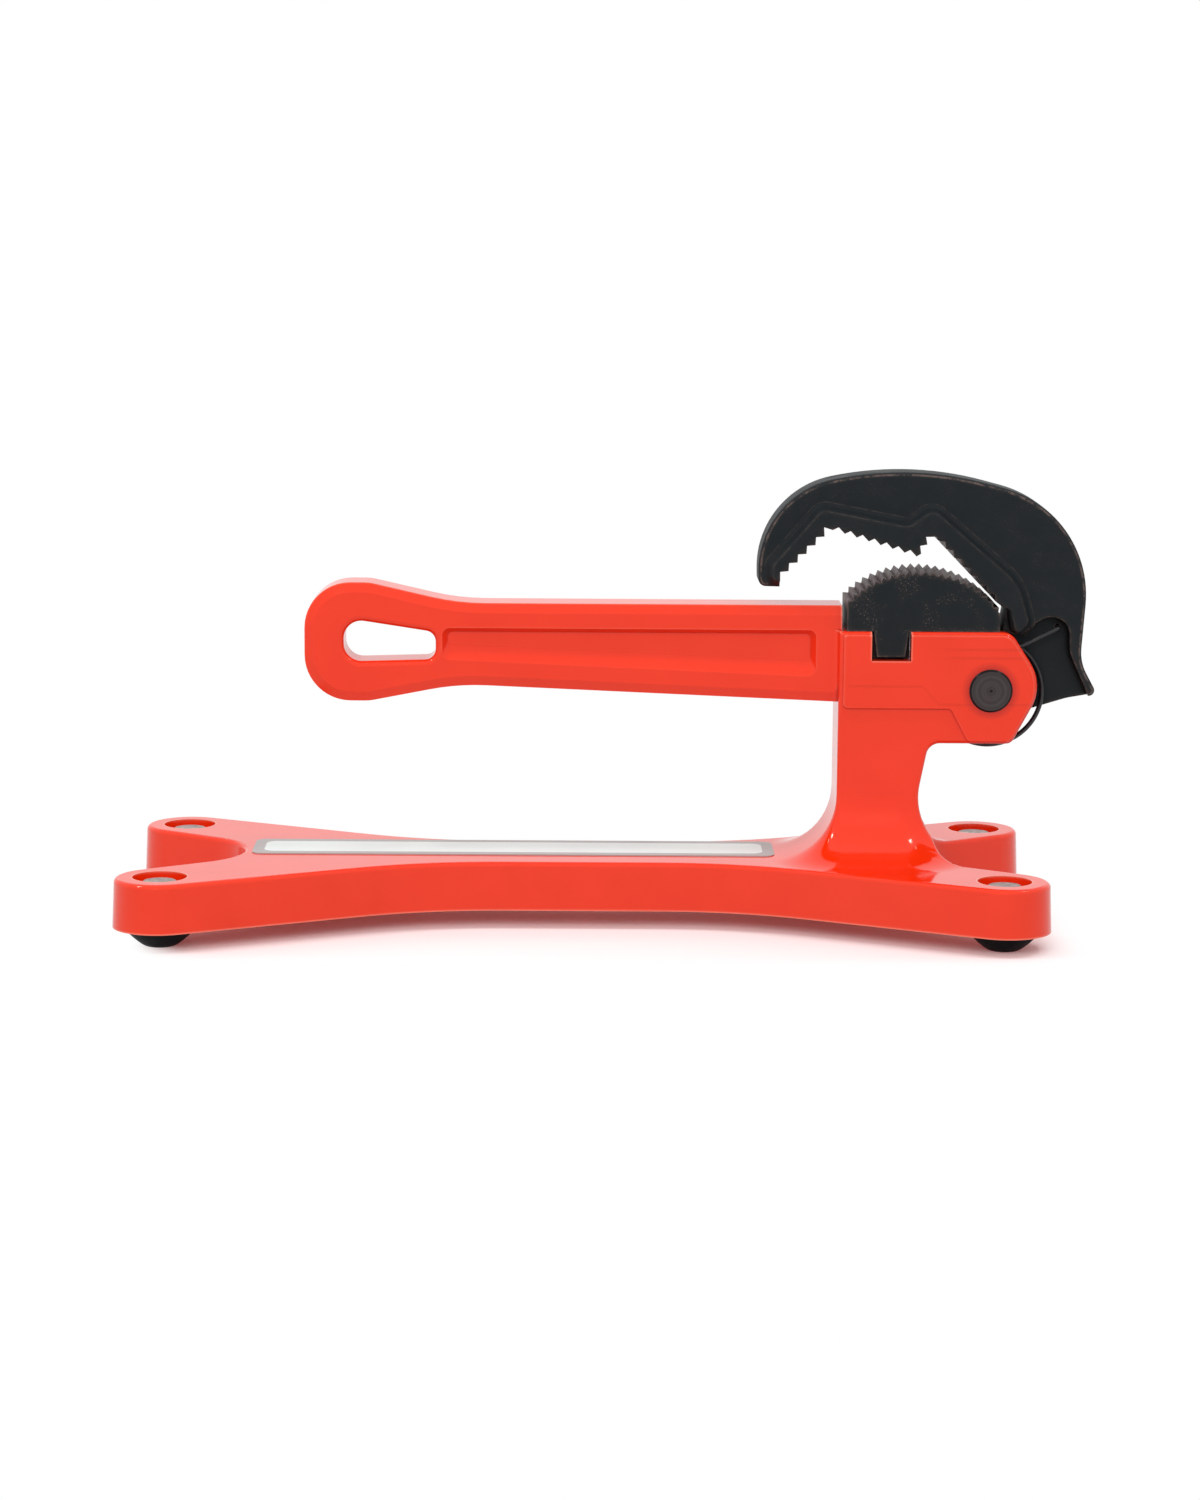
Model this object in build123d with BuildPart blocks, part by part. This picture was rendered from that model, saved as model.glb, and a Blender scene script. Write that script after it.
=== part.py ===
from build123d import *
from math import acos, asin, atan2, cos, hypot, pi, radians, sin, tan
import os

# Bench pipe vise with a fixed wrench-like arm. Millimetres, +Z up, the front side is -Y.
# The origin is on the floor, in the middle of the vise's overall length and width.

# The base casting: an X-shaped plate on four feet
foot_span_x = 304.8
foot_span_y = 101.6
foot_height = 7.0
base_thickness = 18.0
leg_end_radius = 17.2
waist_half_width = 22.3
waist_half_length = 57.0
waist_blend_radius = 117.0
notch_radius = 26.0
notch_shift = 1.1
base_draft = 2.5
base_edge_radius = 1.8
base_wall = 6.0
base_deck = 6.5
rib_thickness = 6.0
foot_boss_radius = 14.5

# The post that carries the head, with a wide foundry fillet where it meets the base
body_thickness = 28.0
post_left_reach = 56.0
post_right_reach = 26.1
post_lean = 11.0
post_root = 4.5
flare_radius = 24.0
cast_edge_radius = 1.6
under_head_radius = 5.0

# The head: two cheeks either side of a slot for the hook jaw
pin_from_base_centre = 149.9
pin_height = 89.0
pin_radius = 7.95
running_clearance = 0.05
head_top_height = 21.5
head_bottom_depth = 20.0
nose_radius = 16.5
nose_chin_radius = 3.0
nose_brow_radius = 6.0
nose_upper_reach = 17.8
nose_upper_angle = 33.0
nose_lower_reach = 16.6
nose_lower_angle = -28.0
slot_width = 17.0
slot_reach = 21.0
pad_height = 1.0
pad_inset = 0.9
pad_edge_radius = 0.6
pad_corner_radius = 2.0
pad_step_height = 7.0
pad_step_left = 14.6
pad_step_right = 8.2

# The arm, shaped like a wrench handle, with a hanging eye at its far end
arm_thickness = 18.0
arm_length = 198.1
arm_top_rise = 30.5
arm_root_depth = 36.0
arm_neck_depth = 30.2
arm_neck_length = 56.6
arm_bevel_depth = 1.5
arm_bevel_width = 3.6
shoulder_overlap = 1.2
arm_root_radius = 2.0
lobe_top_rise = 7.4
lobe_bottom_drop = 6.4
lobe_length = 24.0
lobe_radius = 17.0
neck_blend_radius = 90.0
eye_length = 33.8
eye_left_wall = 14.5
eye_left_height = 16.1
eye_right_height = 10.0
eye_bottom_depth = 22.0
eye_rise = 1.0
eye_left_radius = 6.5
eye_right_radius = 4.0
eye_edge_radius = 2.2

# The long hollow in each face of the arm
channel_depth = 3.4
channel_flange = 9.1
channel_left_gap = 2.4
channel_right_gap = 9.3
channel_upper_slope = 1.8
channel_lower_slope = 5.2
channel_end_slope = 2.0
channel_corner_radius = 3.0
channel_floor_radius = 2.0

# The heel jaw, seated on the head by a tang and held by a hidden key pin
jaw_width = 25.4
heel_length = 56.2
heel_right_reach = 3.0
heel_crown_reach = 26.5
heel_radius = 38.1
heel_height = 22.4
heel_first_groove = 38.2
heel_last_groove = 132.3
heel_groove_count = 21
tooth_depth = 1.6
tang_reach = 36.85
tang_depth = 9.4
tang_top_width = 12.8
tang_bottom_width = 10.2
tang_notch_width = 14.5
tang_notch_clearance = 1.3
key_radius = 2.5
key_length = 18.0
key_depth = 5.3

# The hook jaw, a forging that turns on the pin; its outline is measured from the pin
hub_radius = 12.6
side_clearance = 0.3
rail_draft = 25.0
rail_root = 0.5
rail_clearance = 0.7
cove_radius = 2.2
head_sweep_radius = 22.6
hook_edge_radius = 1.5
spring_recess_depth = 5.5
spring_recess_radius = 22.0
hook_outline = [
    (-78.0, 37.2, 0),
    (-85.7, 37.4, 2.7),
    (-86.5, 71.0, 34.1),
    (-30.2, 83.0, 122.0),
    (37.4, 65.3, 41.7),
    (33.7, 10.0, 17.2),
    (40.4, -2.3, 2.1),
    (29.5, -4.2, 20.0),
]
crest_line = [
    (-80.5, 45.6, 2.0),
    (-63.0, 66.0, 4.0),
    (-31.0, 59.8, 5.5),
    (-22.4, 66.3, 4.0),
    (9.0, 39.5, 20.0),
    (13.5, 25.0, 2.5),
    (9.3, 20.8, 1.0),
    (7.0, 29.5, 0),
]
mouth_side = [(-20.0, 47.0, 0), (-29.0, 43.0, 0), (-59.0, 51.0, 0), (-80.5, 39.0, 1.5)]
web_inner_edge = (4.5, 21.0)
rail_end = (7.6, 21.0)
recess_outline = [
    (9.0, 20.0, 0),
    (29.3, 31.7, 7.0),
    (29.6, 13.5, 12.0),
    (38.5, -6.0, 0),
    (38.5, -20.0, 0),
    (0.0, -20.0, 0),
    (0.0, 0.0, 0),
]

# The hook's teeth: each row from its first tip to its last, with its number of tips, how
# far each valley is on its way from one tip to the next, and the valley's depth
tip_edge = (-78.1, 43.3)
tip_row = ((-75.05, 43.6), (-62.1, 56.4), 5, 0.48, 2.0)
roof_corner = (-62.3, 59.8)
middle_row = ((-59.1, 58.8), (-28.3, 49.3), 8, 0.38, 1.6)
roof_step = [(-26.6, 50.3), (-27.0, 53.2), (-24.4, 53.7), (-24.9, 56.5), (-20.9, 56.6)]
back_row = ((-20.5, 55.2), (1.2, 32.8), 8, 0.5, 1.6)
lip = [(3.5, 31.0), (6.0, 30.2)]

# The torsion spring around the hub
wire_radius = 0.75
coil_radius = 20.0
coil_drop = 1.4
coil_pitch = 1.6
coil_start_angle = 57.0
coil_turns = 2.31
coil_arcs = 20
coil_side_gap = 0.3
leg_hole = (25.5, 22.6)
leg_hole_depth = 3.0
leg_bend_radius = 1.6
wire_clearance = 0.15
anchor_depth = 1.8

# The feet: a rubber buffer moulded on a stud, held by a round nut in a counterbore
foot_top_radius = 12.8
foot_bottom_radius = 8.4
foot_rim = 1.2
counterbore_radius = 9.85
counterbore_depth = 5.0
nut_radius = 6.45
nut_recess = 1.5
nut_edge = 0.6
stud_radius = 2.5
stud_clearance = 0.25
stud_plate_radius = 8.0
stud_plate_thickness = 1.5
stud_embed = 4.5
stud_thread_depth = 2.6
moulding_clearance = 0.02
thread_clearance = 0.05

# The pivot pin's ends, its washer and its ring
pin_front_proud = 0.8
pin_end_chamfer = 0.7
pin_tail = 1.9
pin_centre_mark = 0.7
pin_centre_taper = 44.0
washer_radius = 13.0
washer_thickness = 1.2
ring_radius = 11.0
ring_thickness = 1.2
ring_opening = 9.0
groove_depth = 0.7
groove_clearance = 0.05

# The blank label on the base
label_length = 195.0
label_width = 27.5
label_thickness = 0.4
label_radius = 4.0
label_shift_x = -25.8
label_shift_y = 5.6

# How close two places must be to count as the same when edges are chosen
same_place = 0.01


def rounded_face(corners):
    """A closed outline through (x, y, corner radius) points, filled."""
    points = [(x, y) for x, y, r in corners]
    radii = [r for x, y, r in corners]
    with BuildSketch() as face:
        with BuildLine():
            FilletPolyline(*points, radius=radii, close=True)
        make_face()
    return face.sketch


# Places worked out from the sizes above
base_reach = foot_span_x / 2 + leg_end_radius
spur_reach = rounded_face(hook_outline + [(0, 0, 0)]).bounding_box().max.X
overall_half = (pin_from_base_centre + spur_reach + base_reach) / 2
base_centre = base_reach - overall_half
base_top = foot_height + base_thickness
pin_x = base_centre + pin_from_base_centre
post_left = pin_x - post_left_reach
post_right = pin_x - post_right_reach
half_body = body_thickness / 2
half_arm = arm_thickness / 2
half_jaw = jaw_width / 2
half_slot = slot_width / 2
web_half = half_slot - side_clearance
head_top = pin_height + head_top_height
head_bottom = pin_height - head_bottom_depth
arm_top = pin_height + arm_top_rise
foot_x = foot_span_x / 2
foot_y = foot_span_y / 2
foot_places = {
    "front_left": (base_centre - foot_x, -foot_y),
    "front_right": (base_centre + foot_x, -foot_y),
    "back_left": (base_centre - foot_x, foot_y),
    "back_right": (base_centre + foot_x, foot_y),
}

os.makedirs("parts", exist_ok=True)


def write(builder, name):
    """Label a finished piece and write it as one STEP file."""
    builder.part.label = name
    export_step(builder.part, f"parts/{name}.step")


def from_pin(corners):
    """Outline points measured from the pin, moved to where the pin is."""
    return [(pin_x + x, pin_height + z, *rest) for x, z, *rest in corners]


# The outline of the base: four round leg ends, slanted sides that blend into the waist,
# and a round-bottomed notch between the legs at each end
side_rise = foot_y - waist_half_width
side_run = foot_x - waist_half_length
side_angle = atan2(side_rise, side_run) + asin(leg_end_radius / hypot(side_run, side_rise))
notch_centre = foot_x + notch_shift
leg_distance = hypot(notch_shift, foot_y)
leg_direction = pi / 2 + asin(notch_shift / leg_distance)
notch_angle = leg_direction - asin((notch_radius + leg_end_radius) / leg_distance)
side_touch = (foot_x - leg_end_radius * sin(side_angle), foot_y + leg_end_radius * cos(side_angle))
notch_touch = (foot_x + leg_end_radius * sin(notch_angle), foot_y - leg_end_radius * cos(notch_angle))
notch_corner = notch_centre - notch_radius / sin(notch_angle)


def base_outline():
    """The base plate's outline, seen from above and centred on the plate."""
    end = [
        (notch_corner, 0, notch_radius),
        (*notch_touch, 0),
        (foot_x, foot_y, 0),
        (*side_touch, 0),
        (waist_half_length, waist_half_width, waist_blend_radius),
    ]
    upper = end + [(-x, y, r) for x, y, r in reversed(end)]
    lower = [(x, -y, r) for x, y, r in reversed(upper[1:-1])]
    with BuildSketch() as plate:
        add(rounded_face(upper + lower))
        with GridLocations(foot_span_x, foot_span_y, 2, 2):
            Circle(leg_end_radius)
    return plate.sketch


# The post and head, seen from the front
lean = tan(radians(post_lean))
post_foot = base_top - post_root
post_right_top = post_right + (head_bottom - base_top - flare_radius) * lean
post_right_foot = post_right - (base_top + flare_radius - post_foot) * lean
upper_normal = radians(nose_upper_angle)
lower_normal = radians(nose_lower_angle)


def on_nose_line(normal, reach, height):
    """Where a slanted side of the nose is at a height above the pin."""
    return pin_x + (reach - height * sin(normal)) / cos(normal)


nose_meet = (nose_upper_reach / cos(upper_normal) - nose_lower_reach / cos(lower_normal)) / (
    tan(upper_normal) - tan(lower_normal)
)


def head_corners(inset=0.0):
    """The right-hand end of the head, from its bottom round the nose to its top."""
    top = head_top_height - inset
    bottom = inset - head_bottom_depth
    upper = nose_upper_reach - inset
    lower = nose_lower_reach - inset
    return [
        (on_nose_line(lower_normal, lower, bottom), pin_height + bottom, nose_chin_radius),
        (on_nose_line(upper_normal, upper, nose_meet), pin_height + nose_meet, nose_radius - inset),
        (on_nose_line(upper_normal, upper, top), pin_height + top, nose_brow_radius),
    ]


with BuildPart() as trimmings:
    # What lies around the base's drafted outline, up to the top of the post's fillet
    with BuildSketch(Plane((base_centre, 0, foot_height))):
        Rectangle(foot_span_x + 4 * leg_end_radius, foot_span_y + 4 * leg_end_radius)
    extrude(amount=base_thickness + flare_radius)
    with BuildSketch(Plane((base_centre, 0, foot_height))):
        add(base_outline())
    extrude(amount=base_thickness + flare_radius, taper=base_draft, mode=Mode.SUBTRACT)

post_outline = [
    (post_right_foot, post_foot, 0),
    (post_right_top, head_bottom, under_head_radius),
    *head_corners(),
    (post_left, head_top, 0),
    (post_left, post_foot, 0),
]

with BuildPart() as post:
    with BuildSketch(Plane.XZ):
        add(rounded_face(post_outline))
    extrude(amount=half_body, both=True)
    outer_edges = [e for f in post.faces().filter_by(Axis.Y) for e in f.edges()]
    fillet([e for e in outer_edges if e.center().Z > post_foot + same_place], cast_edge_radius)

# The raised pad on each face of the head, stepped up at its lower left
pad_bottom = head_bottom + pad_inset
pad_outline = [
    *head_corners(pad_inset),
    (post_left + cast_edge_radius, head_top - pad_inset, pad_corner_radius / 2),
    (post_left + cast_edge_radius, pin_height - pad_step_height, pad_corner_radius),
    (pin_x - pad_step_left, pin_height - pad_step_height, pad_corner_radius),
    (pin_x - pad_step_right, pad_bottom, pad_corner_radius),
]

with BuildPart() as pad:
    with BuildSketch(Plane.XZ):
        add(rounded_face(pad_outline))
    extrude(amount=half_body + pad_height, both=True)
    fillet([e for f in pad.faces().filter_by(Axis.Y) for e in f.edges()], pad_edge_radius)

# The arm, seen from the front
shoulder = post_left + shoulder_overlap
arm_tip = shoulder - arm_length
arm_neck = arm_tip + arm_neck_length
arm_neck_bottom = arm_top - arm_neck_depth
arm_bottom_slope = (arm_neck_depth - arm_root_depth) / (shoulder - arm_neck)
lobe_top = arm_top + lobe_top_rise
lobe_bottom = arm_neck_bottom - lobe_bottom_drop
arm_outline = [
    (shoulder, arm_top - arm_root_depth, 0),
    (shoulder, arm_top, 0),
    (arm_neck, arm_top, neck_blend_radius),
    (arm_tip + lobe_length, lobe_top, lobe_radius),
    (arm_tip, lobe_top, lobe_radius),
    (arm_tip, lobe_bottom, lobe_radius),
    (arm_tip + lobe_length, lobe_bottom, lobe_radius),
    (arm_neck, arm_neck_bottom, neck_blend_radius),
]
eye_left = arm_tip + eye_left_wall
eye_right = eye_left + eye_length
eye_bottom = arm_top - eye_bottom_depth
eye_outline = [
    (eye_left, eye_bottom, eye_left_radius),
    (eye_right, eye_bottom + eye_rise, eye_right_radius),
    (eye_right, eye_bottom + eye_rise + eye_right_height, eye_right_radius),
    (eye_left, eye_bottom + eye_left_height, eye_left_radius),
]


def channel_outline(end_inset, upper_inset, lower_inset, radius):
    """The long hollow's outline at one depth, inside the arm's two flanges."""
    left = eye_right + channel_left_gap + end_inset
    right = shoulder - channel_right_gap - end_inset
    top = arm_top - channel_flange - upper_inset
    bottom = arm_neck_bottom + channel_flange + lower_inset
    return [
        (left, bottom + (left - arm_neck) * arm_bottom_slope, radius),
        (right, bottom + (right - arm_neck) * arm_bottom_slope, radius),
        (right, top, radius),
        (left, top, radius),
    ]


with BuildPart() as arm:
    with BuildSketch(Plane.XZ):
        add(rounded_face(arm_outline))
    extrude(amount=half_arm, both=True)
    for side in arm.faces().filter_by(Axis.Y):
        bevelled = [e for e in side.edges() if e.center().X < shoulder - same_place]
        chamfer(bevelled, arm_bevel_width, arm_bevel_depth, reference=side)
    with BuildSketch(Plane.XZ):
        add(rounded_face(eye_outline))
    extrude(amount=half_arm, both=True, mode=Mode.SUBTRACT)
    eye_rims = [
        e
        for f in arm.faces().filter_by(Axis.Y)
        for w in f.inner_wires()
        for e in w.edges()
    ]
    fillet(eye_rims, eye_edge_radius)
    for side in (-1, 1):
        with BuildSketch(Plane.XZ.offset(-side * half_arm)) as channel_mouth:
            add(rounded_face(channel_outline(0, 0, 0, channel_corner_radius)))
        with BuildSketch(Plane.XZ.offset(-side * (half_arm - channel_depth))) as channel_floor:
            insets = (channel_end_slope, channel_upper_slope, channel_lower_slope)
            add(rounded_face(channel_outline(*insets, channel_floor_radius)))
        loft(mode=Mode.SUBTRACT)

# The heel jaw's tang, its notch in the head and the key pin between them
tang_x = pin_x - tang_reach
tang_notch_depth = tang_depth + tang_notch_clearance
key_x = tang_x - (tang_notch_width + tang_top_width) / 4
key_z = head_top - key_depth


def key_hole(radius):
    """The key pin's hole, drilled from the back as deep as the pin is long."""
    with BuildPart() as hole:
        with BuildSketch(Plane.XZ.offset(-(half_body + pad_height))):
            with Locations((key_x, key_z)):
                Circle(radius)
        extrude(amount=key_length)
    return hole.part


# Where the torsion spring's coil starts on the hook's side and ends at the head's slot
coil_front = wire_radius + coil_side_gap - half_slot
coil_back = coil_front + coil_turns * coil_pitch
coil_z = pin_height - coil_drop
start_angle = radians(coil_start_angle)
end_angle = start_angle + radians(360 * coil_turns)
coil_start = (pin_x + coil_radius * cos(start_angle), coil_front, coil_z + coil_radius * sin(start_angle))
coil_end = (pin_x + coil_radius * cos(end_angle), coil_back, coil_z + coil_radius * sin(end_angle))
slot_wall = pin_x - slot_reach

with BuildPart() as body:
    # A plain slab stands in for the base while the post's foundry fillet is made
    with BuildSketch(Plane((base_centre, 0, foot_height))):
        Rectangle(foot_span_x + 3 * leg_end_radius, foot_span_y + 3 * leg_end_radius)
    extrude(amount=base_thickness)
    add(post.part)
    post_middle = (post_left + post_right) / 2
    level_edges = [e for e in body.edges() if abs(e.bounding_box().max.Z - base_top) < same_place]
    level_edges = [e for e in level_edges if e.bounding_box().min.Z > base_top - same_place]
    near_post = [e for e in level_edges if abs(e.center().Y) < half_body + 1]
    fillet([e for e in near_post if abs(e.center().X - post_middle) < body_thickness + 2], flare_radius)
    add(trimmings.part, mode=Mode.SUBTRACT)
    sides = [f for f in body.faces() if f.bounding_box().min.Z < foot_height + same_place]
    sides = [f for f in sides if f.bounding_box().max.Z > base_top - same_place]
    rim = [e for f in sides for e in f.edges() if e.bounding_box().min.Z > base_top - same_place]
    fillet(rim, base_edge_radius)
    # The hollow underside, with its ribs and a boss over each foot
    with BuildSketch(Plane((base_centre, 0, foot_height))):
        offset(base_outline(), amount=-base_wall, kind=Kind.ARC)
        Rectangle(foot_span_x, rib_thickness, mode=Mode.SUBTRACT)
        with GridLocations(waist_half_length, 0, 3, 1):
            Rectangle(rib_thickness, 4 * waist_half_width, mode=Mode.SUBTRACT)
        with GridLocations(foot_span_x, foot_span_y, 2, 2):
            Circle(foot_boss_radius, mode=Mode.SUBTRACT)
    extrude(amount=base_thickness - base_deck, mode=Mode.SUBTRACT)
    # A counterbore and a stud hole over each foot
    with Locations((base_centre, 0, base_top)):
        with GridLocations(foot_span_x, foot_span_y, 2, 2):
            CounterBoreHole(stud_radius + stud_clearance, counterbore_radius, counterbore_depth)
    add(arm.part)
    # A soft corner where the arm's faces run into the head
    arm_ends = body.edges(Select.NEW)
    arm_ends = [e for e in arm_ends if abs(e.bounding_box().min.X - post_left) < same_place]
    arm_ends = [e for e in arm_ends if e.bounding_box().max.X < post_left + same_place]
    arm_ends = [e for e in arm_ends if abs(abs(e.center().Y) - half_arm) < same_place]
    fillet(arm_ends, arm_root_radius)
    add(pad.part)
    # The slot between the cheeks, the pin's bore and the tang's notch
    with BuildSketch(Plane.XY.offset(head_bottom - nose_radius)):
        with Locations((pin_x - slot_reach, 0)):
            Rectangle(4 * slot_reach, slot_width, align=(Align.MIN, Align.CENTER))
    extrude(amount=head_top_height + head_bottom_depth + 2 * nose_radius, mode=Mode.SUBTRACT)
    with BuildSketch(Plane.XZ):
        with Locations((pin_x, pin_height)):
            Circle(pin_radius + running_clearance)
        with Locations((tang_x, head_top)):
            Rectangle(tang_notch_width, 2 * tang_notch_depth)
    extrude(amount=body_thickness, both=True, mode=Mode.SUBTRACT)
    add(key_hole(key_radius), mode=Mode.SUBTRACT)
    # The pocket for the spring's short leg, in the slot's end wall
    with BuildSketch(Plane.YZ.offset(slot_wall)):
        with Locations((coil_back, coil_end[2])):
            Circle(wire_radius + wire_clearance)
    extrude(amount=-anchor_depth - wire_clearance, mode=Mode.SUBTRACT)
write(body, "body_casting")

# The heel jaw: a round-topped block with a tooth row across its crown
heel_x = pin_x - heel_crown_reach
heel_z = head_top + heel_height - heel_radius
heel_right = pin_x + heel_right_reach
heel_left = heel_right - heel_length
groove_span = heel_last_groove - heel_first_groove
groove_half_width = heel_radius * tan(radians(groove_span) / (heel_groove_count - 1) / 2)
groove = [
    (-tooth_depth, 0),
    (tooth_depth, -2 * groove_half_width),
    (tooth_depth, 2 * groove_half_width),
]

tang_outline = [
    (tang_x - tang_top_width / 2, head_top + tang_depth),
    (tang_x - tang_top_width / 2, head_top),
    (tang_x - tang_bottom_width / 2, head_top - tang_depth),
    (tang_x + tang_bottom_width / 2, head_top - tang_depth),
    (tang_x + tang_top_width / 2, head_top),
    (tang_x + tang_top_width / 2, head_top + tang_depth),
]

with BuildPart() as heel_jaw:
    with BuildSketch(Plane.XZ):
        with Locations((heel_left, head_top)):
            Rectangle(heel_length, 2 * heel_height, align=(Align.MIN, Align.MIN))
        with Locations((heel_x, heel_z)):
            Circle(heel_radius, mode=Mode.INTERSECT)
            with PolarLocations(
                heel_radius, heel_groove_count, heel_first_groove, groove_span, endpoint=True
            ):
                Polygon(*groove, align=None, mode=Mode.SUBTRACT)
    extrude(amount=half_jaw, both=True)
    with BuildSketch(Plane.XZ):
        with BuildLine():
            Polyline(tang_outline, close=True)
        make_face()
    extrude(amount=half_jaw, both=True)
    add(key_hole(key_radius), mode=Mode.SUBTRACT)
write(heel_jaw, "heel_jaw")

with BuildPart() as heel_jaw_key:
    add(key_hole(key_radius))
write(heel_jaw_key, "heel_jaw_key")

# The hook jaw's tooth line, from its tip to the lip above the heel jaw


def tooth_row(first, last, count, valley_share, depth):
    """Tips spaced evenly from the first to the last, with a valley between each two."""
    along = Vector(*last) - Vector(*first)
    step = along / (count - 1)
    outward = Vector(-along.Y, along.X).normalized() * depth
    row = [Vector(*first)]
    for tooth in range(1, count):
        tip = Vector(*first) + step * tooth
        row += [tip - step * (1 - valley_share) + outward, tip]
    return [(point.X, point.Y) for point in row]


tooth_line = [tip_edge, *tooth_row(*tip_row), roof_corner, *tooth_row(*middle_row)]
tooth_line += [*roof_step, *tooth_row(*back_row), *lip]
tooth_line = [(x, z, 0) for x, z in tooth_line]


def hub_tangent(point, side):
    """Where a line from a point touches the hub, measured from the pin."""
    angle = atan2(point[1], point[0]) + side * acos(hub_radius / hypot(*point[:2]))
    return (hub_radius * cos(angle), hub_radius * sin(angle), 0)


web_corners = hook_outline + [hub_tangent(hook_outline[-1], -1), (0, 0, 0)]
web_corners += [hub_tangent(web_inner_edge, 1), (*web_inner_edge, 0)]
web_corners += list(reversed(tooth_line))
rail_depth = half_jaw - web_half + rail_root
rail_run = rail_depth * tan(radians(rail_draft))

with BuildPart() as rails:
    # The toothed rail, wider than the web, with drafted outer walls
    for side in (-1, 1):
        with BuildSketch(Plane.XZ.offset(-side * (web_half - rail_root))):
            crest_face = rounded_face(from_pin(crest_line + mouth_side))
            offset(crest_face, amount=rail_run, kind=Kind.INTERSECTION)
        extrude(amount=-side * rail_depth, taper=rail_draft)
    with BuildSketch(Plane.XZ):
        mouth_floor = [(*rail_end, 0), (0, 0, 0), (hook_outline[0][0], 0, 0)]
        add(rounded_face(from_pin(tooth_line + mouth_floor)))
        with Locations((pin_x, pin_height)):
            Circle(head_sweep_radius + rail_clearance)
    extrude(amount=jaw_width, both=True, mode=Mode.SUBTRACT)


def open_path(corners):
    """An open line on the middle plane, through points measured from the pin."""
    placed = from_pin(corners)
    points = [(x, z) for x, z, r in placed]
    with BuildLine(Plane.XZ) as path:
        FilletPolyline(*points, radius=[r for x, z, r in placed[1:-1]])
    return path.line


def near(line, edge, reach):
    """Whether an edge's middle lies beside a line drawn on the middle plane."""
    place = edge.position_at(0.5)
    return line.distance_to(Vector(place.X, 0, place.Z)) < reach


def hub_distance(edge):
    """How far an edge's middle lies from the pin's axis."""
    return hypot(edge.center().X - pin_x, edge.center().Z - pin_height)


hook_sweep = open_path(hook_outline)
rail_crest = open_path(crest_line)

with BuildPart() as hook_jaw:
    with BuildSketch(Plane.XZ):
        add(rounded_face(from_pin(web_corners)))
        with Locations((pin_x, pin_height)):
            Circle(hub_radius)
    extrude(amount=web_half, both=True)
    # The outer sweep is rounded, from the tip over the back to the spur
    face_edges = [e for f in hook_jaw.faces().filter_by(Axis.Y) for e in f.edges()]
    fillet([e for e in face_edges if near(hook_sweep, e, hook_edge_radius)], hook_edge_radius)
    # A cove along the rail's foot, as far as the head's sweep
    add(rails.part)
    foot_edges = hook_jaw.edges(Select.NEW)
    foot_edges = [e for e in foot_edges if abs(abs(e.center().Y) - web_half) < same_place]
    foot_edges = [e for e in foot_edges if near(rail_crest, e, rail_run + rail_root)]
    fillet([e for e in foot_edges if hub_distance(e) > head_sweep_radius + cove_radius], cove_radius)
    # The spring's recess on the front, open at the bottom, around the hub
    with BuildSketch(Plane.XZ.offset(web_half)) as recess:
        add(rounded_face(from_pin(recess_outline)))
        with Locations((pin_x, pin_height)):
            Circle(spring_recess_radius)
            Circle(hub_radius, mode=Mode.SUBTRACT)
    extrude(amount=-spring_recess_depth, mode=Mode.SUBTRACT)
    leg_x = pin_x + leg_hole[0]
    leg_z = pin_height + leg_hole[1]
    recess_floor = spring_recess_depth - web_half
    with BuildSketch(Plane.XZ.offset(-recess_floor)):
        with Locations((leg_x, leg_z)):
            Circle(wire_radius + wire_clearance)
    extrude(amount=-leg_hole_depth - wire_clearance, mode=Mode.SUBTRACT)
    with BuildSketch(Plane.XZ):
        with Locations((pin_x, pin_height)):
            Circle(pin_radius + running_clearance)
    extrude(amount=half_slot, both=True, mode=Mode.SUBTRACT)
write(hook_jaw, "hook_jaw")

# The torsion spring: a long leg hooked into the jaw, the coil, and a short leg in the head


def on_coil(turn):
    """The middle of the wire after some turns, from the coil's front end."""
    angle = start_angle + radians(360 * turn)
    x = pin_x + coil_radius * cos(angle)
    z = coil_z + coil_radius * sin(angle)
    return (x, coil_front + coil_pitch * turn, z)


with BuildPart() as torsion_spring:
    with BuildLine() as coil:
        for arc in range(coil_arcs):
            ThreePointArc(*[on_coil(coil_turns * (arc + part) / coil_arcs) for part in (0, 0.5, 1)])
    with BuildSketch(Plane(coil.line @ 0, z_dir=coil.line % 0)):
        Circle(wire_radius)
    sweep(path=coil.line)
    with BuildLine() as leg:
        leg_points = [
            (leg_x, recess_floor + leg_hole_depth, leg_z),
            (leg_x, coil_front, leg_z),
            coil_start,
        ]
        FilletPolyline(*leg_points, radius=leg_bend_radius)
    with BuildSketch(Plane(leg.line @ 0, z_dir=leg.line % 0)):
        Circle(wire_radius)
    sweep(path=leg.line)
    with BuildLine() as anchor:
        Line(coil_end, (slot_wall - anchor_depth, coil_back, coil_end[2]))
    with BuildSketch(Plane(anchor.line @ 0, z_dir=anchor.line % 0)):
        Circle(wire_radius)
    sweep(path=anchor.line)
write(torsion_spring, "torsion_spring")

# The pivot pin, its washer and the open ring that holds it at the back
pad_face = half_body + pad_height
pin_front = pad_face + pin_front_proud
groove_start = pad_face + washer_thickness
groove_end = groove_start + ring_thickness + 2 * groove_clearance
pin_back = groove_end + pin_tail
groove_radius = pin_radius - groove_depth

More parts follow.
